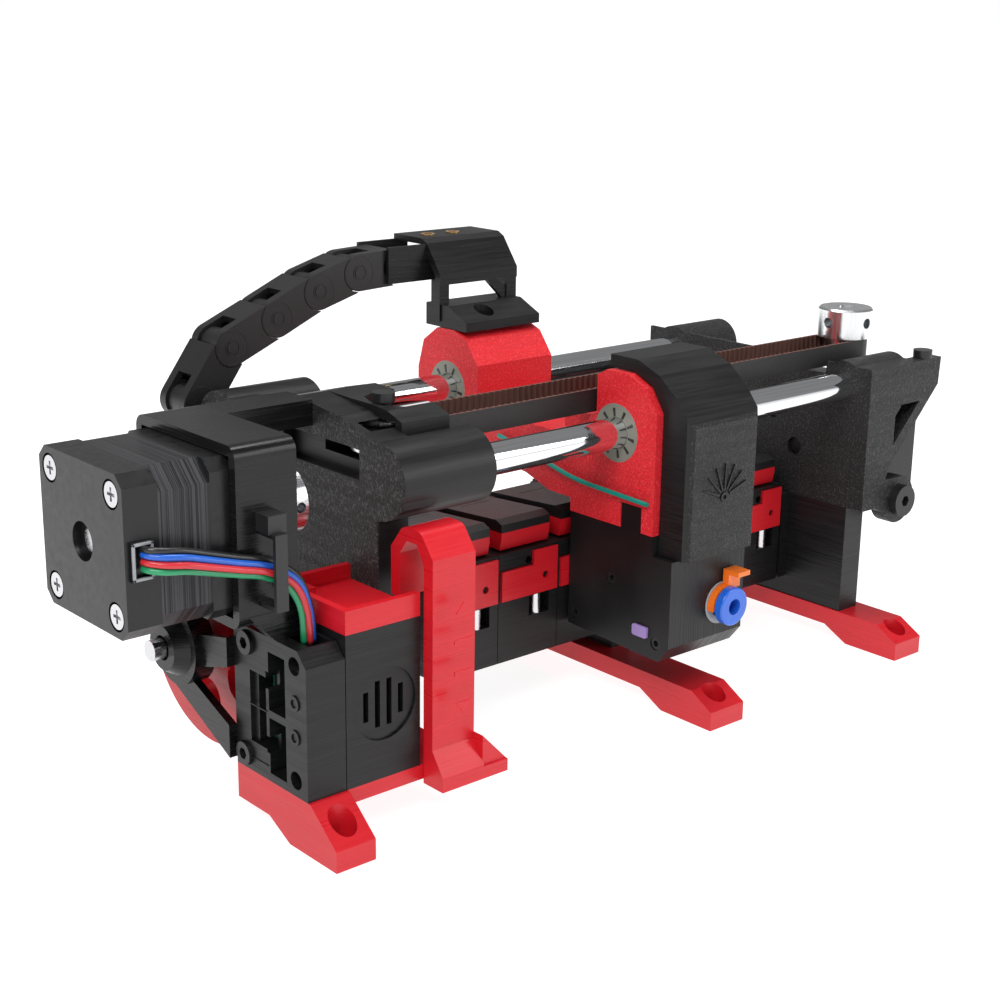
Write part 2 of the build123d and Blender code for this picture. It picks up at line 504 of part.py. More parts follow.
with BuildPart() as selector_motor:
    with BuildSketch(Plane.XY.offset(SM_Z0)) as s:
        with Locations((SM_X, SM_Y)):
            Rectangle(MOTOR, MOTOR)
            chamfer(s.vertices(), 3.2)
    extrude(s.sketch, amount=SM_Z1 - SM_Z0)
    rodz(SM_Z1, SM_Z1 + 2.0, SM_X, SM_Y, 11.0)
    rodz(SM_Z0 + 2, SM_Z1 + 3, SM_X, SM_Y, 2.56, Mode.SUBTRACT)
save(selector_motor, "selector_motor")

with BuildPart() as selector_rotor:
    rodz(78.6, 79.6, SM_X, SM_Y, 8.0)
    rodz(79.6, 86.0, SM_X, SM_Y, PINION_R - 0.45)
    rodz(86.0, 94.6, SM_X, SM_Y, 8.0)
    chamfer(selector_rotor.edges().filter_by(GeomType.CIRCLE).group_by(Axis.Z)[-1], 0.5)
    rodz(78, 96, SM_X, SM_Y, SHAFT_R, Mode.SUBTRACT)
    rody(-30, -18, SM_X, 90.6, 1.5, Mode.SUBTRACT)
    rodx(SM_X - 12, SM_X, SM_Y, 90.6, 1.5, Mode.SUBTRACT)
    add(Solid.make_cylinder(SHAFT_R, 50.0, Plane(origin=(SM_X, SM_Y, SM_Z0 + 3), z_dir=(0, 0, 1))), mode=Mode.ADD)
save(selector_rotor, "selector_rotor")

# ================================================================ fasteners of the frame
def cap_screw_x(x, y, z, length, mode=Mode.ADD):
    rodx(x, x + 2.4, y, z, 2.75)
    rodx(x + 2.4, x + 2.4 + length, y, z, 1.5)
    with BuildSketch(Plane.YZ.offset(x)) as h:
        with Locations((y, z)):
            RegularPolygon(1.45, 6)
    extrude(h.sketch, amount=1.5, mode=Mode.SUBTRACT)


with BuildPart() as frame_fasteners:
    # pan-head screws of the gear motor's rear cap
    for y in (-MOTOR_HOLES / 2, MOTOR_HOLES / 2):
        for z in (-MOTOR_HOLES / 2, MOTOR_HOLES / 2):
            rodx(GM_X0 + 0.1, GM_X0 + 2.2, GM_Y + y, GM_Z + z, 2.7)
            with Locations((GM_X0, GM_Y + y, GM_Z + z)):
                Box(1.4, 3.0, 0.7, mode=Mode.SUBTRACT)
                Box(1.4, 0.7, 3.0, mode=Mode.SUBTRACT)
    # hinge pins of the arms, and the steel pin in each lane's outlet face
    for x in LANES:
        rodx(x, x + LANE_W, ARM_PIVOT_Y, ARM_PIVOT_Z, 1.5)
        rodz(25.4, 30.9, x + 14.0, BLOCK_Y0 + 1.7, 1.6)
    cap_screw_x(-125.0, -25.8, 43.2, 1.5)
    cap_screw_x(-125.0, -24.3, 16.2, 1.5)
    # idler bolt, clamp screw and button-head side screw
    rodz(74.8, 90.0, IDLER_X, SM_Y, 1.5)
    rodz(90.0, 92.2, IDLER_X, SM_Y, 2.75)
    rodz(76.0, 82.0, 98.5, -40.7, 1.5)
    rodz(82.0, 84.4, 98.5, -40.7, 2.75)
    rody(-43.0, -38.6, 89.0, 41.5, 2.5)
    rody(-45.6, -43.0, 89.0, 41.5, 4.6)
    with BuildSketch(Plane.XZ.offset(45.6)) as hx:
        with Locations((89.0, 41.5)):
            RegularPolygon(1.7, 6)
    extrude(hx.sketch, amount=-1.5, mode=Mode.SUBTRACT)
save(frame_fasteners, "frame_fasteners")

# ================================================================ cart
CB_Z0 = 52.0
with BuildPart() as cart_body:
    # outlet-side housing, bridge and rear housing
    slab_x([(-47.2, 52.0), (-47.2, 83.0), (-43.0, 89.0), (-37.0, 91.6), (-29.5, 91.6), (-24.6, 89.0), (-20.6, 84.0), (-14.6, 78.6),
            (-14.6, 72.2), (8.0, 72.2), (20.5, 72.2), (20.5, 84.0), (25.5, 90.4), (31.0, 92.4), (38.0, 92.2), (44.0, 88.0),
            (46.4, 80.0), (46.4, 66.0), (30.0, 62.0), (0.0, 58.6), (-8.8, 55.8), (-17.4, 55.6), (-17.4, 52.0)], CART_X0, CART_X1 - 0.4)
    # belt slot, open towards the top
    bar(CART_X0 - 1, CART_X1 + 1, -26.2, -23.0, 79.0, 95.0, Mode.SUBTRACT)
    bar(CART_X0 - 1, CART_X1 + 1, -23.1, -10.0, 79.0, 95.0, Mode.SUBTRACT)
    rodx(CART_X0 - 1, CART_X1 + 1, -ROD_Y, ROD_Z, BRG_R, Mode.SUBTRACT)
    rodx(CART_X0 - 1, CART_X1 + 1, ROD_Y, ROD_Z, BRG_R, Mode.SUBTRACT)
    # recess of the selector body's tongue
    bar(CART_X0 - 1, CART_X0 + 3.2, -43.2, -35.8, 51.0, 58.6, Mode.SUBTRACT)
save(cart_body, "cart_body")

with BuildPart() as linear_bearings:
    for y in (-ROD_Y, ROD_Y):
        rodx(CART_X0, CART_X1 - 0.4, y, ROD_Z, BRG_R)
        rodx(CART_X0 - 1, CART_X1 + 1, y, ROD_Z, ROD_R + 0.06, Mode.SUBTRACT)
        # radial slots of the polymer liner
        with BuildSketch(Plane.YZ.offset(CART_X0)) as s:
            with Locations((y, ROD_Z)):
                with PolarLocations(5.2, 10, start_angle=9):
                    Rectangle(2.0, 0.6)
        extrude(s.sketch, amount=1.6, mode=Mode.SUBTRACT)
save(linear_bearings, "linear_bearings")

with BuildPart() as cart_hood:
    slab_x([(-56.9, 47.0), (-56.9, 81.0), (-51.5, 87.6), (-45.5, 92.4), (-38.0, 95.2), (-28.6, 95.2), (-28.6, 92.0), (-37.2, 92.0),
            (-43.4, 89.3), (-47.5, 83.2), (-47.5, 47.0)], -16.6, CART_X1)
    chamfer(cart_hood.edges().filter_by(Axis.Z).sort_by(Axis.Y)[:2], 1.5)
    # pocket for the servo
    bar(-13.5, 6.5, -54.4, -47.0, 49.0, 76.0, Mode.SUBTRACT)
save(cart_hood, "cart_hood")

with BuildPart() as servo:
    bar(-8.6, 3.4, -54.4, -49.9, 50.0, 73.0)
    rody(-49.9, -49.5, -2.6, 66.0, 2.0)
save(servo, "servo")

COL_X, COL_Z = 0.4, 32.5
CH_Y = 50.0
CHAIN = [(-91.5, 79.3), (-81.6, 92.9), (-67.4, 98.9), (-53.9, 104.8), (-40.8, 108.6), (-27.6, 109.2)]
CHAIN_END = CHAIN[-1]
with BuildPart() as selector_body:
    slab_x([(-53.9, 24.0), (-53.9, 46.8), (-47.3, 46.8), (-47.1, 51.8), (-43.0, 51.8), (-43.0, 58.4), (-36.0, 58.4), (-36.0, 51.8),
            (-17.4, 51.8), (-17.4, 21.0), (-50.4, 19.6)], CART_X0 + 0.3, CART_X0 + 3.0)
    slab_x([(-53.9, 24.0), (-53.9, 46.8), (-47.3, 46.8), (-47.1, 51.8), (-17.4, 51.8), (-17.4, 21.0), (-50.4, 19.6)],
           CART_X0 + 3.0, CART_X1 - 0.2)
    # way for the filament, collet bore and encoder chamber
    rody(-55.0, -17.0, COL_X, COL_Z, 2.1, Mode.SUBTRACT)
    rody(-55.0, -44.0, COL_X, COL_Z, 3.4, Mode.SUBTRACT)
    rodx(-4.6, 5.4, -33.0, COL_Z + 8.2, 7.4, Mode.SUBTRACT)
    rodx(-9.0, 8.0, -33.0, COL_Z + 8.2, 1.5, Mode.SUBTRACT)
    # horn chamber above
    bar(-13.0, 6.0, -44.0, -24.0, 49.6, 52.5, Mode.SUBTRACT)
    # counterbores of the face screws and the label recess
    for y, z in ((-33.0, 37.4), (-19.9, 22.8 + 1.6), (-52.0 + 2.6, 24.2)):
        rodx(CART_X0 - 1, CART_X0 + 2.4, y, z, 1.7, Mode.SUBTRACT)
    bar(CART_X0 - 1, CART_X0 + 1.6, -46.8, -41.6, 24.8, 27.8, Mode.SUBTRACT)
save(selector_body, "selector_body")

with BuildPart() as selector_insert:
    bar(CART_X0 - 0.3, CART_X0 + 1.6, -46.8, -41.6, 24.8, 27.8)
    fillet(selector_insert.edges().filter_by(Axis.X), 0.7)
save(selector_insert, "selector_insert")

with BuildPart() as tube_collet:
    rody(-58.8, -56.6, COL_X, COL_Z, 5.0)
    rody(-56.7, -44.2, COL_X, COL_Z, 3.3)
    fillet(tube_collet.edges().filter_by(GeomType.CIRCLE).group_by(Axis.Y)[0], 0.5)
    rody(-60, -43, COL_X, COL_Z, 2.1, Mode.SUBTRACT)
save(tube_collet, "tube_collet")

with BuildPart() as collet_clip:
    rody(-56.2, -54.3, COL_X, COL_Z, 5.2)
    rody(-57, -54, COL_X, COL_Z, 3.5, Mode.SUBTRACT)
    # open side and thumb tab point up and to the right
    with BuildSketch(Plane.XZ.offset(54.3)) as s:
        with Locations(Location((COL_X, COL_Z, 0), (0, 0, 1), 235)):
            with Locations((4, 0)):
                Rectangle(8, 7.0)
    extrude(s.sketch, amount=3, mode=Mode.SUBTRACT)
    bar(0.6, 5.0, -56.2, -54.3, 36.6, 41.6)
    bar(0.6, 5.0, -59.4, -54.3, 40.4, 41.6)
save(collet_clip, "collet_clip")

with BuildPart() as encoder_gear:
    rodx(-2.6, 3.4, -33.0, COL_Z + 8.2, 6.0)
    rodx(-8.6, 7.6, -33.0, COL_Z + 8.2, 1.44)
    with Locations(Location((COL_X, -33.0, COL_Z + 8.2), (0, 90, 0))):
        Torus(6.9, 1.3, mode=Mode.SUBTRACT)
save(encoder_gear, "encoder_gear")

with BuildPart() as servo_horn:
    rody(-49.3, -47.9, -2.6, 66.0, 3.0)
    slab_y([(-5.2, 66.0), (0.0, 66.0), (-1.4, 55.2), (-3.8, 55.2)], -49.3, -47.9)
save(servo_horn, "servo_horn")

with BuildPart() as cart_arm:
    # top plate over the chain's end, with a front that slopes down
    slab_x([(57.5, 114.5), (57.5, 116.2), (45.0, 116.2), (42.6, 115.0), (36.6, 107.0), (36.6, 104.0), (39.0, 104.0),
            (39.0, 106.4), (43.9, 113.0), (43.9, 114.5)], -18.8, 9.4)
    # posts down to the foot, with a brace
    bar(-18.8, -15.4, 36.9, 40.6, 94.0, 105.3)
    bar(5.8, 9.4, 36.9, 40.6, 94.0, 105.3)
    slab_y([(8.0, 95.0), (8.0, 99.0), (1.0, 105.6), (-3.0, 105.6)], 37.3, 38.7)
    # cheeks either side of the chain's end
    bar(-32.0, -14.8, 42.7, 43.7, 104.8, 114.8)
    bar(-32.0, -14.8, 56.3, 57.3, 104.8, 114.8)
    # foot on the rear housing, ramped towards the front
    slab_x([(25.9, 92.45), (25.9, 95.0), (34.0, 98.6), (43.4, 98.6), (43.4, 92.45)], -18.3, 8.6)
    rodz(90.0, 99.0, -8.0, 30.6, 1.6, Mode.SUBTRACT)
    rodz(94.2, 99.0, -8.0, 30.6, 2.8, Mode.SUBTRACT)
    for x in (-12.5, -3.5):
        rodz(112.3, 119.0, x, CH_Y, 2.0, Mode.SUBTRACT)
save(cart_arm, "cart_arm")

with BuildPart() as cart_fasteners:
    # brass inserts in the arm's top
    for x in (-12.5, -3.5):
        rodz(114.5, 116.5, x, CH_Y, 2.0)
        rodz(112.0, 119.0, x, CH_Y, 1.25, Mode.SUBTRACT)
    # cap screws in the selector body's face
    for y, z in ((-33.0, 37.4), (-19.9, 24.4), (-49.4, 24.2)):
        rodx(CART_X0 + 0.6, CART_X0 + 2.4, y, z, 1.7)
        with BuildSketch(Plane.YZ.offset(CART_X0 + 0.6)) as h:
            with Locations((y, z)):
                RegularPolygon(0.9, 6)
        extrude(h.sketch, amount=1.0, mode=Mode.SUBTRACT)
save(cart_fasteners, "cart_fasteners")

with BuildPart() as cart_wire:
    wpts = [(-19.5, 10.5, 66.8), (-20.0, -4.0, 64.8), (-20.3, -20.0, 61.4), (-20.0, -34.0, 60.8), (-19.6, -46.0, 60.2)]
    with BuildLine() as wroute:
        legs = [Vector(*b) - Vector(*a) for a, b in zip(wpts, wpts[1:])]
        radii = []
        for a, b in zip(legs, legs[1:]):
            turn = math.radians(a.get_angle(b))
            radii.append(0.45 * min(a.length, b.length) / math.tan(turn / 2))
        FilletPolyline(*wpts, radius=radii)
    with BuildSketch(Plane(origin=wpts[0], z_dir=legs[0])):
        Circle(0.6)
    sweep()
save(cart_wire, "cart_wire")

# ================================================================ cable chain
with BuildPart() as chain_anchor:
    # bracket of the chain's fixed end, on the back of the left end block
    bar(-97.0, -84.0, CH_Y - 6.0, CH_Y + 6.0, 60.0, 64.0)
    bar(-93.0, -84.0, 32.4, CH_Y + 6.0, 60.0, 64.0)
    bar(-94.6, -87.2, CH_Y - 2.9, CH_Y + 2.9, 62.0, CHAIN[0][1])
    rody(CH_Y - 2.9, CH_Y + 2.9, CHAIN[0][0], CHAIN[0][1], 4.2)
    rody(CH_Y - 4.0, CH_Y + 4.0, CHAIN[0][0], CHAIN[0][1], 1.56, Mode.SUBTRACT)
save(chain_anchor, "chain_anchor")

for n in range(5):
    (xa, za), (xb, zb) = CHAIN[n], CHAIN[n + 1]
    length = math.hypot(xb - xa, zb - za)
    ux, uz = (xb - xa) / length, (zb - za) / length
    tail = length - 5.2
    outline = [(-0.0, -5.0), (length - 2.0, -5.0), (length - 2.0, 5.0), (-0.0, 5.0)]
    pts = [(xa + u * ux - w * uz, za + u * uz + w * ux) for u, w in outline]
    with BuildPart() as link:
        # forked root end over the last link's tongue
        slab_y(pts, CH_Y - 6.0, CH_Y + 6.0)
        rody(CH_Y - 6.0, CH_Y + 6.0, xa, za, 5.0)
        rody(CH_Y - 7.0, CH_Y + 7.0, xb, zb, 5.2, Mode.SUBTRACT)
        inner = [(xa + u * ux - w * uz, za + u * uz + w * ux) for u, w in [(-6, -6), (5.6, -6), (5.6, 6), (-6, 6)]]
        slab_y(inner, CH_Y - 3.2, CH_Y + 3.2, Mode.SUBTRACT)
        cable = [(xa + u * ux - w * uz, za + u * uz + w * ux) for u, w in [(-6, -3.2), (length + 8, -3.2), (length + 8, 3.2), (-6, 3.2)]]
        slab_y(cable, CH_Y - 4.4, CH_Y + 4.4, Mode.SUBTRACT)
        rody(CH_Y - 6.0, CH_Y - 3.2, xa, za, 5.0)
        rody(CH_Y + 3.2, CH_Y + 6.0, xa, za, 5.0)
        # the fork's pin
        rody(CH_Y - 3.3, CH_Y + 3.3, xa, za, 1.5)
        if True:
            tongue = [(xa + u * ux - w * uz, za + u * uz + w * ux) for u, w in [(tail - 1.0, -3.6), (length, -3.6), (length, 3.6), (tail - 1.0, 3.6)]]
            slab_y(tongue, CH_Y - 2.9, CH_Y + 2.9)
            rody(CH_Y - 2.9, CH_Y + 2.9, xb, zb, 4.2)
            root = [(xa + u * ux - w * uz, za + u * uz + w * ux) for u, w in [(tail - 2.0, -4.6), (tail, -4.6), (tail, 4.6), (tail - 2.0, 4.6)]]
            slab_y(root, CH_Y - 5.0, CH_Y + 5.0)
            rody(CH_Y - 7.0, CH_Y + 7.0, xb, zb, 1.56, Mode.SUBTRACT)
    save(link, "chain_link_%d" % (n + 1))

print(len(os.listdir("parts")), "files")
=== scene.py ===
import math
import bpy
import bmesh
from mathutils import Matrix, Vector, Quaternion


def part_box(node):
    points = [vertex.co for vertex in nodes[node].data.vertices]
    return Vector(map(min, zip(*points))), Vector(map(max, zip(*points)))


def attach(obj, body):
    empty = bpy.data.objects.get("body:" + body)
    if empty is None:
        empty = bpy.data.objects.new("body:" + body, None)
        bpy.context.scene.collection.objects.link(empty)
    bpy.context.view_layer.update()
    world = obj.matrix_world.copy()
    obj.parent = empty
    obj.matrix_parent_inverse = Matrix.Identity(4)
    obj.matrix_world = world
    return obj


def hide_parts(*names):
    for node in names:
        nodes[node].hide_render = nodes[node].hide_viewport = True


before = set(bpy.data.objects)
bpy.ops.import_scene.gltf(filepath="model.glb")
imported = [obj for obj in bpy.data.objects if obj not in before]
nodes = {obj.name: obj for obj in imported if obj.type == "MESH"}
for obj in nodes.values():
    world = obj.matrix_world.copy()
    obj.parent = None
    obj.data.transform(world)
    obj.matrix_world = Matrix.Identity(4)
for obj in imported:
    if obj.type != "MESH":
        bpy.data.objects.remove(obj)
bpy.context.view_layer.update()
MM = 0.001


# ------------------------------------------------------------------ materials
def new_mat(name):
    m = bpy.data.materials.new(name)
    m.use_nodes = True
    nt = m.node_tree
    nt.nodes.clear()
    out = nt.nodes.new("ShaderNodeOutputMaterial")
    b = nt.nodes.new("ShaderNodeBsdfPrincipled")
    nt.links.new(b.outputs[0], out.inputs[0])
    return m, nt, b


def coords(nt, scale, rot=(0, 0, 0)):
    tc = nt.nodes.new("ShaderNodeTexCoord")
    mp = nt.nodes.new("ShaderNodeMapping")
    mp.inputs["Scale"].default_value = scale
    mp.inputs["Rotation"].default_value = rot
    nt.links.new(tc.outputs["Object"], mp.inputs[0])
    return mp.outputs[0]


def noise(nt, vec, scale, detail=3.0, rough=0.5):
    n = nt.nodes.new("ShaderNodeTexNoise")
    n.inputs["Scale"].default_value = scale
    n.inputs["Detail"].default_value = detail
    n.inputs["Roughness"].default_value = rough
    nt.links.new(vec, n.inputs["Vector"])
    return n.outputs["Fac"]


def math_node(nt, op, a, b=None):
    n = nt.nodes.new("ShaderNodeMath")
    n.operation = op
    for i, v in enumerate((a, b)):
        if v is None:
            continue
        if isinstance(v, (int, float)):
            n.inputs[i].default_value = v
        else:
            nt.links.new(v, n.inputs[i])
    return n.outputs[0]


def remap(nt, val, a, b, c, d):
    n = nt.nodes.new("ShaderNodeMapRange")
    n.inputs[1].default_value = a
    n.inputs[2].default_value = b
    n.inputs[3].default_value = c
    n.inputs[4].default_value = d
    nt.links.new(val, n.inputs[0])
    return n.outputs[0]


def mix_col(nt, fac, a, b):
    n = nt.nodes.new("ShaderNodeMix")
    n.data_type = "RGBA"
    if isinstance(fac, float):
        n.inputs[0].default_value = fac
    else:
        nt.links.new(fac, n.inputs[0])
    for i, v in ((6, a), (7, b)):
        if isinstance(v, (tuple, list)):
            n.inputs[i].default_value = (*v[:3], 1)
        else:
            nt.links.new(v, n.inputs[i])
    return n.outputs[2]


def bump_chain(nt, b, layers):
    prev = None
    for height, strength, dist in layers:
        bp = nt.nodes.new("ShaderNodeBump")
        bp.inputs["Strength"].default_value = strength
        bp.inputs["Distance"].default_value = dist
        nt.links.new(height, bp.inputs["Height"])
        if prev is not None:
            nt.links.new(prev, bp.inputs["Normal"])
        prev = bp.outputs[0]
    if prev is not None:
        nt.links.new(prev, b.inputs["Normal"])


def printed(name, col, rough=0.42, layer=0.5, axis="z", fuzz=0.0, fuzz_scale=1300, spec=0.32, tint=0.25, coat=0.0, only=None):
    """Printed plastic: fine layer lines across one axis, a faint streak pattern, and optional fuzzy skin."""
    m, nt, b = new_mat(name)
    k = 1.0 / (0.42 * MM)
    lo = 60.0
    sc = {"z": (lo, lo, k), "x": (k, lo, lo), "y": (lo, k, lo)}[axis]
    streak = noise(nt, coords(nt, sc), 1.0, 1.5)
    k2 = 1.0 / (2.1 * MM)
    sc2 = {"z": (18, 18, k2), "x": (k2, 18, 18), "y": (18, k2, 18)}[axis]
    band = noise(nt, coords(nt, sc2), 1.0, 1.0)
    grain = noise(nt, coords(nt, (1, 1, 1)), fuzz_scale, 4.0, 0.65)
    mott = noise(nt, coords(nt, (1, 1, 1)), 90, 3.0)
    dark = tuple(c * (1 - tint) for c in col)
    light = tuple(min(1, c * (1 + tint) + 0.002) for c in col)
    c1 = mix_col(nt, remap(nt, streak, 0.35, 0.65, 0, 1), dark, light)
    c2 = mix_col(nt, remap(nt, mott, 0.3, 0.7, 0.0, 0.35), c1, col)
    if fuzz:
        speck = noise(nt, coords(nt, (1, 1, 1)), fuzz_scale * 0.95, 2.0, 0.6)
        if only:
            tc = nt.nodes.new("ShaderNodeTexCoord")
            sep = nt.nodes.new("ShaderNodeSeparateXYZ")
            nt.links.new(tc.outputs["Object"], sep.inputs[0])
            near = math_node(nt, "LESS_THAN", sep.outputs[only[0]], only[1])
            speck = math_node(nt, "MULTIPLY", speck, near)
            grain = math_node(nt, "MULTIPLY", grain, near)
        pale = tuple(min(1, c * 1.25 + 0.085 * fuzz) for c in col)
        c2 = mix_col(nt, remap(nt, speck, 0.53, 0.66, 0.0, 0.85), c2, pale)
    nt.links.new(c2, b.inputs["Base Color"])
    r = math_node(nt, "ADD", remap(nt, streak, 0.3, 0.7, -0.05, 0.05), remap(nt, band, 0.3, 0.7, rough - 0.05, rough + 0.06))
    nt.links.new(r, b.inputs["Roughness"])
    b.inputs["Specular IOR Level"].default_value = spec
    if coat:
        b.inputs["Coat Weight"].default_value = coat
        b.inputs["Coat Roughness"].default_value = 0.2
    lay = [(streak, layer, 0.12 * MM), (band, layer * 0.5, 0.2 * MM)]
    if fuzz:
        lay.append((grain, fuzz, 1.1 * MM))
    bump_chain(nt, b, lay)
    return m


def metal(name, col, rough=0.2, brush=None, strength=0.15, metallic=1.0, noise_r=0.06):
    m, nt, b = new_mat(name)
    b.inputs["Metallic"].default_value = metallic
    sc = {"x": (25, 2200, 2200), "y": (2200, 25, 2200), "z": (2200, 2200, 25), None: (500, 500, 500)}[brush]
    n = noise(nt, coords(nt, sc), 1.0, 2.0)
    nt.links.new(mix_col(nt, remap(nt, n, 0.3, 0.7, 0, 1), tuple(c * 0.9 for c in col), tuple(min(1, c * 1.06) for c in col)), b.inputs["Base Color"])
    nt.links.new(remap(nt, n, 0.3, 0.7, max(0.02, rough - noise_r), rough + noise_r), b.inputs["Roughness"])
    bump_chain(nt, b, [(n, strength, 0.02 * MM)])
    return m


def plastic(name, col, rough=0.35, coat=0.0, bump=0.1, scale=900, spec=0.5):
    m, nt, b = new_mat(name)
    n = noise(nt, coords(nt, (1, 1, 1)), scale, 3.0)
    big = noise(nt, coords(nt, (1, 1, 1)), 120, 2.0)
    nt.links.new(mix_col(nt, remap(nt, big, 0.3, 0.7, 0, 1), tuple(c * 0.88 for c in col), tuple(min(1, c * 1.08) for c in col)), b.inputs["Base Color"])
    nt.links.new(remap(nt, n, 0.3, 0.7, rough - 0.04, rough + 0.05), b.inputs["Roughness"])
    b.inputs["Specular IOR Level"].default_value = spec
    b.inputs["Coat Weight"].default_value = coat
    bump_chain(nt, b, [(n, bump, 0.04 * MM)])
    return m


BLK = (0.0055, 0.0055, 0.0062)
RED = (0.56, 0.008, 0.016)
M = {}
M["black"] = printed("black print", BLK, 0.40, 0.55)
M["black_x"] = printed("black print, on its side", BLK, 0.38, 0.5, axis="x")
M["black_gloss"] = printed("glossy black print", (0.005, 0.005, 0.0055), 0.25, 0.35)
M["black_fuzzy"] = printed("black print with fuzzy skin", (0.008, 0.008, 0.0085), 0.42, 0.2, fuzz=1.0, fuzz_scale=1500, only=("X", -0.0925))
M["black_sand"] = printed("black print with sanded skin", (0.007, 0.007, 0.0075), 0.42, 0.2, fuzz=0.55, fuzz_scale=1800)
M["hood"] = printed("black hood print", (0.007, 0.007, 0.0075), 0.42, 0.3, fuzz=0.45, fuzz_scale=1900, only=("Y", -0.0562))
M["black_brushed"] = printed("black print with upright lines", (0.007, 0.007, 0.0075), 0.40, 0.8, axis="x")
M["red"] = printed("red print", RED, 0.33, 0.3, tint=0.04, coat=0.15)
M["red_sand"] = printed("red print with sanded skin", (0.66, 0.012, 0.02), 0.42, 0.3, fuzz=0.45, fuzz_scale=1900, tint=0.06)
M["motor"] = metal("motor coating", (0.008, 0.008, 0.009), 0.33, None, 0.2, metallic=0.25)
M["chrome"] = metal("chromed steel", (0.82, 0.83, 0.85), 0.07, "x", 0.04, noise_r=0.03)
M["steel"] = metal("turned steel", (0.62, 0.62, 0.64), 0.24, "x", 0.1)
M["steel_z"] = metal("turned alloy", (0.78, 0.79, 0.80), 0.22, "z", 0.1)
M["brass"] = metal("brass", (0.78, 0.52, 0.20), 0.28, None, 0.2)
M["screw_black"] = metal("blackened steel", (0.03, 0.03, 0.032), 0.34, None, 0.1, metallic=0.7)
M["blue"] = plastic("blue collet", (0.015, 0.12, 0.62), 0.3, 0.3)
M["orange"] = plastic("orange clip", (0.85, 0.17, 0.012), 0.35, 0.2)
M["lilac"] = plastic("lilac insert", (0.30, 0.20, 0.48), 0.4, 0.1)
M["grey"] = plastic("grey ring", (0.30, 0.31, 0.33), 0.4)
M["white"] = plastic("servo plastic", (0.03, 0.03, 0.04), 0.4)
M["board"] = plastic("board", (0.008, 0.07, 0.035), 0.35, 0.3)
M["chain"] = plastic("chain plastic", (0.010, 0.010, 0.011), 0.42, 0.0, 0.25, 700)
M["bearing"] = plastic("bearing polymer", (0.20, 0.20, 0.165), 0.45, 0.0, 0.2, 1500)
M["w_teal"] = plastic("teal jacket", (0.0, 0.22, 0.17), 0.35, 0.2)
M["w_blue"] = plastic("blue jacket", (0.01, 0.10, 0.50), 0.35, 0.2)
M["w_red"] = plastic("red jacket", (0.55, 0.02, 0.03), 0.35, 0.2)
M["w_green"] = plastic("green jacket", (0.01, 0.25, 0.10), 0.35, 0.2)
M["w_black"] = plastic("black jacket", (0.012, 0.012, 0.012), 0.35, 0.2)
M["belt_back"] = plastic("belt back", (0.012, 0.011, 0.011), 0.5, 0.0, 0.3, 1200)
M["belt_tooth"] = plastic("belt teeth", (0.075, 0.028, 0.020), 0.55, 0.0, 0.4, 2500)
M["black_plain"] = plastic("moulded black", (0.012, 0.012, 0.013), 0.4, 0.0, 0.2)


# laminations: fine vertical plates, edge to edge
def laminated():
    m, nt, b = new_mat("laminated steel")
    n = noise(nt, coords(nt, (1 / (0.36 * MM), 12, 12)), 1.0, 1.0)
    nt.links.new(mix_col(nt, remap(nt, n, 0.4, 0.6, 0, 1), (0.008, 0.008, 0.009), (0.05, 0.05, 0.054)), b.inputs["Base Color"])
    nt.links.new(remap(nt, n, 0.3, 0.7, 0.3, 0.5), b.inputs["Roughness"])
    b.inputs["Metallic"].default_value = 0.5
    bump_chain(nt, b, [(n, 0.45, 0.08 * MM)])
    return m


M["lam"] = laminated()


def split_x(name, cuts, cols, metallic, roughs, axis="X"):
    """One material whose colour steps along one axis: the pieces of a group node that differ."""
    m, nt, b = new_mat(name)
    tc = nt.nodes.new("ShaderNodeTexCoord")
    sep = nt.nodes.new("ShaderNodeSeparateXYZ")
    nt.links.new(tc.outputs["Object"], sep.inputs[0])
    v = sep.outputs[axis]
    g = noise(nt, coords(nt, (1, 1, 1)), 1400, 2.0)
    c, me, ro = cols[0], metallic[0], roughs[0]
    col = mix_col(nt, 0.0, c, c)
    mv = math_node(nt, "ADD", me, 0.0)
    rv = math_node(nt, "ADD", ro, 0.0)
    for i, cut in enumerate(cuts):
        f = math_node(nt, "GREATER_THAN", v, cut)
        col = mix_col(nt, f, col, cols[i + 1])
        mv = math_node(nt, "ADD", mv, math_node(nt, "MULTIPLY", f, metallic[i + 1] - metallic[i]))
        rv = math_node(nt, "ADD", rv, math_node(nt, "MULTIPLY", f, roughs[i + 1] - roughs[i]))
    nt.links.new(col, b.inputs["Base Color"])
    nt.links.new(mv, b.inputs["Metallic"])
    nt.links.new(math_node(nt, "ADD", rv, remap(nt, g, 0.3, 0.7, -0.04, 0.04)), b.inputs["Roughness"])
    bump_chain(nt, b, [(g, 0.15, 0.03 * MM)])
    return m


STEEL = (0.62, 0.62, 0.64)
M["fasteners"] = split_x("frame fasteners", [-0.150, -0.0640, 0.0690], [STEEL, (0.03, 0.03, 0.032), STEEL, (0.03, 0.03, 0.032)],
                         [1.0, 0.6, 1.0, 0.6], [0.2, 0.34, 0.22, 0.3])
M["cart_fasteners"] = split_x("cart fasteners", [0.110], [(0.03, 0.03, 0.032), (0.80, 0.50, 0.18)], [0.6, 1.0], [0.35, 0.25], "Z")
M["arm"] = split_x("red arm with black top", [0.0492], [RED, BLK], [0, 0], [0.33, 0.4], "Z")

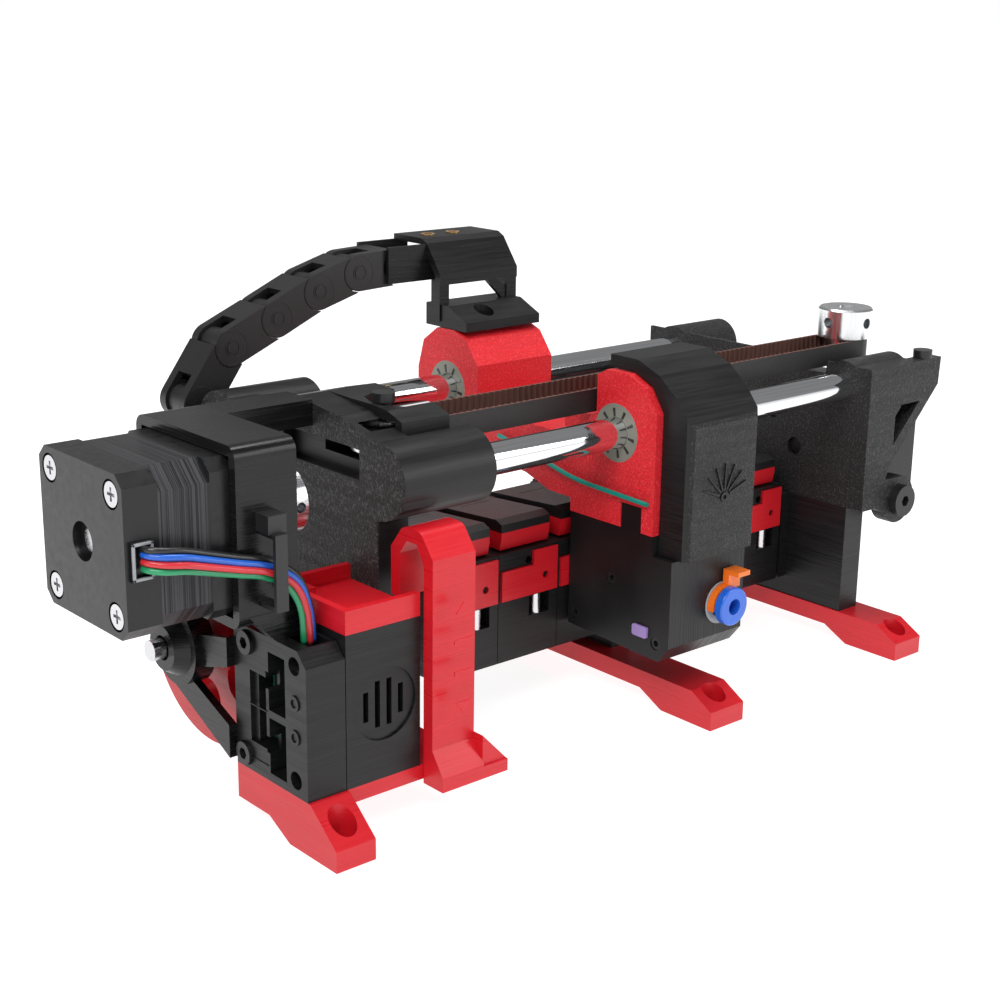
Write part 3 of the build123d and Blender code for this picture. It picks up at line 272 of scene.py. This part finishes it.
LOOK = {
    "left_base": "red", "cross_feet": "red", "electronics_box": "black", "control_board": "board", "connector_panel": "black",
    "box_lid": "red", "side_strap": "red", "gear_motor_caps": "motor", "gear_motor_stator": "lam", "frame_fasteners": "fasteners",
    "motor_leads": "w_black", "zip_tie": "black_plain", "drive_bracket": "black_gloss", "shaft_bearings": "steel",
    "drive_belt": "belt_back", "left_end_block": "black_fuzzy", "guide_rods": "chrome", "selector_belt": "belt_back",
    "filament_blocks": "black", "latch_plates": "red", "support_plates": "black", "right_end_block": "black_sand",
    "selector_motor": "motor", "chain_anchor": "chain", "drive_shaft": "steel", "drive_wheel": "red", "drive_gears": "steel",
    "gear_motor_rotor": "steel", "selector_rotor": "steel_z", "idler_pulley": "steel_z", "cart_body": "red_sand",
    "linear_bearings": "bearing", "cart_hood": "hood", "servo": "white", "selector_body": "black_brushed",
    "selector_insert": "lilac", "tube_collet": "blue", "cart_arm": "black", "cart_fasteners": "cart_fasteners", "cart_wire": "w_teal",
    "servo_horn": "white", "encoder_gear": "steel", "collet_clip": "orange",
}
for i in range(1, 7):
    LOOK["top_arm_%d" % i] = "arm"
    LOOK["idler_gear_%d" % i] = "steel"
for i in range(1, 6):
    LOOK["chain_link_%d" % i] = "chain"
for n, o in nodes.items():
    o.data.materials.clear()
    o.data.materials.append(M[LOOK[n]])


# ------------------------------------------------------------------ pieces
def mesh_obj(name, bm, mats, body, smooth=True):
    me = bpy.data.meshes.new(name)
    bm.normal_update()
    bm.to_mesh(me)
    bm.free()
    o = bpy.data.objects.new(name, me)
    bpy.context.scene.collection.objects.link(o)
    for m in mats:
        me.materials.append(m)
    if smooth:
        for p in me.polygons:
            p.use_smooth = True
    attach(o, body)
    return o


def loop_points(c0, r0, c1, r1, step):
    """Belt line round two circles in a plane: (u, v, nu, nv) points spaced by step, outward normal."""
    d = Vector((c1[0] - c0[0], c1[1] - c0[1]))
    L = d.length
    a = math.atan2(d.y, d.x)
    al = math.acos((r0 - r1) / L)
    pts = []

    def arc(c, r, t0, t1):
        n = max(6, int(abs(t1 - t0) * r / (0.25 * MM)))
        return [(c[0] + r * math.cos(t0 + (t1 - t0) * i / n), c[1] + r * math.sin(t0 + (t1 - t0) * i / n),
                 math.cos(t0 + (t1 - t0) * i / n), math.sin(t0 + (t1 - t0) * i / n)) for i in range(n + 1)]

    far0 = arc(c0, r0, a + al, a + 2 * math.pi - al)
    far1 = arc(c1, r1, a - al, a + al)
    dense = far0 + far1
    dense.append(dense[0])
    # resample
    out = []
    total = sum(math.hypot(q[0] - p[0], q[1] - p[1]) for p, q in zip(dense, dense[1:]))
    n = round(total / step)
    st = total / n
    i, acc = 0, 0.0
    for k in range(n):
        s = k * st
        while True:
            p, q = dense[i], dense[i + 1]
            l = math.hypot(q[0] - p[0], q[1] - p[1])
            if acc + l >= s - 1e-12 or i >= len(dense) - 2:
                break
            acc += l
            i += 1
        t = 0 if l == 0 else (s - acc) / l
        nx, ny = p[2] + (q[2] - p[2]) * t, p[3] + (q[3] - p[3]) * t
        h = math.hypot(nx, ny)
        out.append((p[0] + (q[0] - p[0]) * t, p[1] + (q[1] - p[1]) * t, nx / h, ny / h))
    return out


def belt(name, pts, to3, lo, hi, out, base, tooth, body, teeth_per=8):
    """Closed belt of rectangular section with rounded teeth on its inner side. pts are the pitch line."""
    bm = bmesh.new()
    n = len(pts)
    prof = []
    for k in range(n):
        ph = (k % teeth_per) / teeth_per
        if ph < 0.5:
            h = tooth * math.sin(math.pi * ph / 0.5) ** 0.6
        else:
            h = 0
        prof.append(h)
    rings = []
    for (u, v, nu, nv), h in zip(pts, prof):
        ring = []
        for off, w in ((out, lo), (out, hi), (-base - h, hi), (-base - h, lo)):
            ring.append(bm.verts.new(to3(u + nu * off, v + nv * off, w)))
        rings.append(ring)
    for k in range(n):
        a, b = rings[k], rings[(k + 1) % n]
        for j in range(4):
            f = bm.faces.new((a[j], a[(j + 1) % 4], b[(j + 1) % 4], b[j]))
            f.material_index = 0 if j == 0 else (1 if j == 2 else 2)
    bmesh.ops.recalc_face_normals(bm, faces=bm.faces)
    o = mesh_obj(name, bm, [M["belt_back"], M["belt_tooth"], M["belt_edge"]], body, smooth=False)
    return o


M["belt_edge"] = plastic("belt edge", (0.12, 0.045, 0.032), 0.6, 0.0, 0.5, 3000)
# selector belt: 2 mm pitch between the selector motor's pulley and the idler pulley
pts = loop_points((-80 * MM, -18 * MM), 6.37 * MM, (90.8 * MM, -18 * MM), 6.37 * MM, 0.25 * MM)
sb = belt("selector_belt_toothed", pts, lambda u, v, w: (u, v, w), 79.85 * MM, 85.75 * MM, 0.45 * MM, 0.1 * MM, 0.62 * MM, "frame")
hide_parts("selector_belt")
pts = loop_points((0.0, 35.6 * MM), 25.46 * MM, (-17.3 * MM, 71 * MM), 6.37 * MM, 0.25 * MM)
db = belt("drive_belt_toothed", pts, lambda u, v, w: (w, u, v), -117.25 * MM, -111.75 * MM, 0.55 * MM, 0.1 * MM, 0.55 * MM, "frame")
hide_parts("drive_belt")


def tube(name, pts, r, mat, body, seg=14, sub=10):
    """Smooth round lead through the given points."""
    P = [Vector(p) for p in pts]
    P = [P[0] * 2 - P[1]] + P + [P[-1] * 2 - P[-2]]
    path = []
    for i in range(1, len(P) - 2):
        for k in range(sub):
            t = k / sub
            a, b, c, d = P[i - 1], P[i], P[i + 1], P[i + 2]
            path.append(0.5 * ((2 * b) + (c - a) * t + (2 * a - 5 * b + 4 * c - d) * t * t + (3 * b - 3 * c + d - a) * t ** 3))
    path.append(P[-2])
    bm = bmesh.new()
    rings = []
    up = Vector((0, 0, 1))
    for i, p in enumerate(path):
        t = (path[min(i + 1, len(path) - 1)] - path[max(i - 1, 0)]).normalized()
        s = t.cross(up)
        if s.length < 0.2:
            s = t.cross(Vector((1, 0, 0)))
        s.normalize()
        q = s.cross(t)
        rings.append([bm.verts.new(p + (s * math.cos(2 * math.pi * j / seg) + q * math.sin(2 * math.pi * j / seg)) * r) for j in range(seg)])
    for a, b in zip(rings, rings[1:]):
        for j in range(seg):
            bm.faces.new((a[j], a[(j + 1) % seg], b[(j + 1) % seg], b[j]))
    bm.faces.new(rings[0][::-1])
    bm.faces.new(rings[-1])
    bmesh.ops.recalc_face_normals(bm, faces=bm.faces)
    return mesh_obj(name, bm, [mat], body)


def lead_path(dy, dz):
    k = dz / 2.7
    raw = [(-154.1, -35.6, 70.5 + dz * 0.9), (-153.5, -37.7, 70.5 + dz * 0.9), (-151.0, -39.4 + dy * 0.6, 70.2 + dz * 0.9),
           (-146.6, -40.2 + dy, 69.6 + dz * 0.85), (-140.5, -40.4 + dy, 67.9 + dz * 0.8), (-134.5, -40.5 + dy, 66.2 + dz * 0.75),
           (-128.6, -40.4 + dy, 64.5 + dz * 0.75), (-123.6, -40.3 + dy, 61.9 + dz * 0.85), (-120.2 + k * 1.2, -40.2 + dy, 58.4 + dz * 0.6),
           (-118.2 + k * 1.7, -40.2 + dy, 53.0), (-117.6 + k * 1.9, -40.2 + dy, 46.0)]
    return [tuple(c * MM for c in p) for p in raw]


first = None
for nm, dy, dz, mt in (("lead_blue", -0.3, 1.7, "w_blue"), ("lead_red", -0.9, 0.0, "w_red"), ("lead_green", -0.2, -1.7, "w_green"), ("lead_black", 0.8, 3.1, "w_black")):
    o = tube(nm, lead_path(dy, dz), 0.72 * MM, M[mt], "frame")
    if first is None:
        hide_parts("motor_leads")
        first = o


def extrude_poly(bm, pts2, to3, w0, w1, mat=0, bev=0.0):
    a = [bm.verts.new(to3(u, v, w0)) for u, v in pts2]
    b = [bm.verts.new(to3(u, v, w1)) for u, v in pts2]
    fs = [bm.faces.new(a[::-1]), bm.faces.new(b)]
    n = len(pts2)
    for i in range(n):
        fs.append(bm.faces.new((a[i], a[(i + 1) % n], b[(i + 1) % n], b[i])))
    for f in fs:
        f.material_index = mat
    return fs


def circle2(u, v, r, n=40, a0=0.0, a1=2 * math.pi):
    full = abs(a1 - a0 - 2 * math.pi) < 1e-6
    m = n if full else n + 1
    return [(u + r * math.cos(a0 + (a1 - a0) * i / n), v + r * math.sin(a0 + (a1 - a0) * i / n)) for i in range(m)]


def detail(name, mats, body, build, bevel=0.0, segs=2):
    bm = bmesh.new()
    build(bm)
    bmesh.ops.recalc_face_normals(bm, faces=bm.faces)
    o = mesh_obj(name, bm, mats, body, smooth=False)
    if bevel:
        md = o.modifiers.new("edge", "BEVEL")
        md.width = bevel
        md.segments = segs
        md.limit_method = "ANGLE"
        md.harden_normals = False
    return o


def to_x(u, v, w):
    return (w * MM, u * MM, v * MM)


def to_y(u, v, w):
    return (u * MM, w * MM, v * MM)


def to_z(u, v, w):
    return (u * MM, v * MM, w * MM)


# bearing liners: painted shade in the radial slots, thin dark patches laid on the face, with a raised outer ring
def bearing_slot_shade(bm, y):
    # painted shade: each slot is a flat dark patch, not a recess
    for i in range(10):
        a = math.radians(9 + 36 * i)
        c, s = math.cos(a), math.sin(a)
        pts = []
        for rr, hw in ((4.35, 0.26), (6.35, 0.42), (6.35, -0.42), (4.35, -0.26)):
            pts.append((y + rr * c - hw * s, 76 + rr * s + hw * c))
        extrude_poly(bm, pts, to_x, -18.69, -18.80, 1)


# painted shade: dark slot patches on the front and rear bearing faces
for nm, y in (("front_bearing_slot_shade", -33.35), ("rear_bearing_slot_shade", 33.35)):
    detail(nm, [M["bearing"], M["black_plain"]], "cart", lambda bm, y=y: bearing_slot_shade(bm, y))


# flat ring of square section between two radii
def ring_bar(bm, cu, cv, r0, r1, to3, w0, w1, n=36, mat=0):
    o0 = [bm.verts.new(to3(*p, w0)) for p in circle2(cu, cv, r1, n)]
    o1 = [bm.verts.new(to3(*p, w1)) for p in circle2(cu, cv, r1, n)]
    i0 = [bm.verts.new(to3(*p, w0)) for p in circle2(cu, cv, r0, n)]
    i1 = [bm.verts.new(to3(*p, w1)) for p in circle2(cu, cv, r0, n)]
    for k in range(n):
        j = (k + 1) % n
        for q in ((o0[k], o0[j], o1[j], o1[k]), (i0[j], i0[k], i1[k], i1[j]), (o1[k], o1[j], i1[j], i1[k]), (o0[j], o0[k], i0[k], i0[j])):
            bm.faces.new(q).material_index = mat


# rubber-tipped collar ring behind the collet
detail("collet_ring", [M["grey"]], "cart", lambda bm: ring_bar(bm, 0.4, 32.5, 3.7, 5.6, to_y, -54.2, -53.8, 48), 0.15 * MM)


# ---- details of the printed and bought pieces, laid on the CAD surfaces
def box_bar(bm, u0, u1, v0, v1, w0, w1, to3, mat=0):
    extrude_poly(bm, [(u0, v0), (u1, v0), (u1, v1), (u0, v1)], to3, w0, w1, mat)


def polar(cu, cv, r, a):
    return (cu + r * math.cos(a), cv + r * math.sin(a))


# chain: round side plates and pin heads at each pivot, on both sides
CH = [(-91.5, 79.3), (-81.6, 92.9), (-67.4, 98.9), (-53.9, 104.8), (-40.8, 108.6), (-27.6, 109.2)]


def chain_discs(bm, x, z):
    for s, y in ((-1, 44.0), (1, 56.0)):
        ring_bar(bm, x, z, 4.35, 4.75, to_y, y, y + s * 0.08, 44)
        ring_bar(bm, x, z, 0.05, 1.55, to_y, y, y + s * 0.2, 28)
        ring_bar(bm, x, z, 1.9, 2.15, to_y, y, y + s * 0.12, 28)


for i in range(5):
    detail("chain_disc_%d" % (i + 1), [M["chain"]], "chain_%d" % (i + 1), lambda bm, i=i: chain_discs(bm, *CH[i]), 0.06 * MM)


# grey collar of the motor's socket
def plug_frame(bm):
    for u0, u1, v0, v1 in ((-156.5, -151.7, 74.0, 74.6), (-156.5, -151.7, 66.6, 67.2), (-156.5, -155.9, 66.6, 74.6), (-152.3, -151.7, 66.6, 74.6)):
        box_bar(bm, u0, u1, v0, v1, -35.5, -36.1, to_y)


detail("plug_frame", [M["grey"]], "frame", plug_frame, 0.1 * MM)


# embossed generic geometry on the connector panel and hood: bars and rings only
lo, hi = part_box("connector_panel")
PX = lo.x / MM


def panel_marks2(bm):
    for z in (34.5, 26.5):
        ring_bar(bm, -44.0, z, 1.0, 1.8, to_x, PX + 0.05, PX - 0.35, 28)
    for z in (24.0, 37.0):
        box_bar(bm, -33.2, -26.4, z - 8.1, z - 7.8, PX + 0.05, PX - 0.2, to_x)


detail("panel_marks", [M["black"]], "frame", panel_marks2, 0.05 * MM)


# hood: generic raised rays on the outlet side face
def rays(bm, cu, cv, r0, r1, n, a0, a1, w0, w1, to3):
    for i in range(n):
        a = a0 + (a1 - a0) * i / (n - 1)
        h = 0.32
        p, q = polar(cu, cv, r0, a), polar(cu, cv, r1, a)
        nx, ny = -math.sin(a) * h, math.cos(a) * h
        extrude_poly(bm, [(p[0] - nx, p[1] - ny), (q[0] - nx * 0.3, q[1] - ny * 0.3), (q[0] + nx * 0.3, q[1] + ny * 0.3), (p[0] + nx, p[1] + ny)], to3, w0, w1)


def hood_rays(bm):
    rays(bm, -3.8, 62.0, 2.0, 8.6, 7, math.radians(20), math.radians(160), -56.85, -57.3, to_y)
    ring_bar(bm, -3.8, 62.0, 0.6, 1.3, to_y, -56.85, -57.3, 24)


detail("hood_rays", [M["black_gloss"]], "cart", hood_rays, 0.05 * MM)


# strap: two raised bars and arrow heads, no letters
lo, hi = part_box("side_strap")
SY = lo.y / MM


def strap_marks(bm):
    for z in (50.0, 29.0):
        s = 1 if z > 40 else -1
        extrude_poly(bm, [(-89.0, z), (-84.6, z), (-86.8, z + 2.6 * s)], to_y, SY + 0.05, SY - 0.3)
    for z in (43.5, 36.0):
        box_bar(bm, -89.4, -84.2, z - 0.5, z + 0.5, SY + 0.05, SY - 0.3, to_y)


detail("strap_marks", [M["red"]], "frame", strap_marks, 0.05 * MM)

# ------------------------------------------------------------------ stage
def stage():
    bpy.ops.mesh.primitive_plane_add(size=30.0, location=(0, 0, -0.0002))
    floor = bpy.context.object
    floor.name = "floor"
    m, nt, b = new_mat("paper")
    n = noise(nt, coords(nt, (1, 1, 1)), 3.0, 2.0)
    nt.links.new(remap(nt, n, 0.3, 0.7, 0.60, 0.66), b.inputs["Roughness"])
    b.inputs["Base Color"].default_value = (0.35, 0.35, 0.35, 1)
    b.inputs["Emission Color"].default_value = (1, 1, 1, 1)
    b.inputs["Emission Strength"].default_value = 0.9
    floor.data.materials.append(m)
    w = bpy.data.worlds.new("studio")
    bpy.context.scene.world = w
    w.use_nodes = True
    wt = w.node_tree
    tc = wt.nodes.new("ShaderNodeTexCoord")
    sep = wt.nodes.new("ShaderNodeSeparateXYZ")
    wt.links.new(tc.outputs["Generated"], sep.inputs[0])
    az = math_node(wt, "ABSOLUTE", sep.outputs["Z"])
    lvl = remap(wt, az, 0.06, 0.16, 1.0, 0.24)
    wt.links.new(lvl, wt.nodes["Background"].inputs[1])
    wt.nodes["Background"].inputs[0].default_value = (1, 1, 1, 1)

    def area(name, loc, target, size, power, color=(1, 1, 1)):
        d = bpy.data.lights.new(name, "AREA")
        d.shape = "RECTANGLE"
        d.size, d.size_y = size
        d.energy = power
        d.color = color
        o = bpy.data.objects.new(name, d)
        bpy.context.scene.collection.objects.link(o)
        o.location = loc
        o.rotation_euler = (Vector(target) - Vector(loc)).to_track_quat("-Z", "Y").to_euler()
        return o

    area("key", (-0.75, -0.45, 0.95), (0, 0, 0.05), (0.7, 0.5), 10.5)
    area("top", (0.1, 0.15, 1.1), (0, 0, 0.05), (0.8, 0.4), 9)
    area("right", (0.6, -0.9, 0.5), (0, 0, 0.05), (0.4, 0.6), 3.5)
    sc = bpy.context.scene
    sc.view_settings.view_transform = "Standard"
    sc.view_settings.look = "None"
    sc.view_settings.exposure = 0.0
    yaw, p, roll = math.radians(41.203), math.radians(16.227), math.radians(0.814)
    fw = Vector((math.sin(yaw) * math.cos(p), math.cos(yaw) * math.cos(p), -math.sin(p)))
    right = fw.cross(Vector((0, 0, 1))).normalized()
    up = right.cross(fw)
    r = right * math.cos(roll) + up * math.sin(roll)
    u = up * math.cos(roll) - right * math.sin(roll)
    cam = bpy.data.cameras.new("camera")
    cam.sensor_width = 36.0
    cam.lens = 61.58
    cam.clip_start = 0.01
    co = bpy.data.objects.new("camera", cam)
    sc.collection.objects.link(co)
    m3 = Matrix((r, u, -fw)).transposed()
    co.matrix_world = Matrix.Translation((-0.3149, -0.32785, 0.17931)) @ m3.to_4x4()
    sc.camera = co


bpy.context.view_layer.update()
stage()
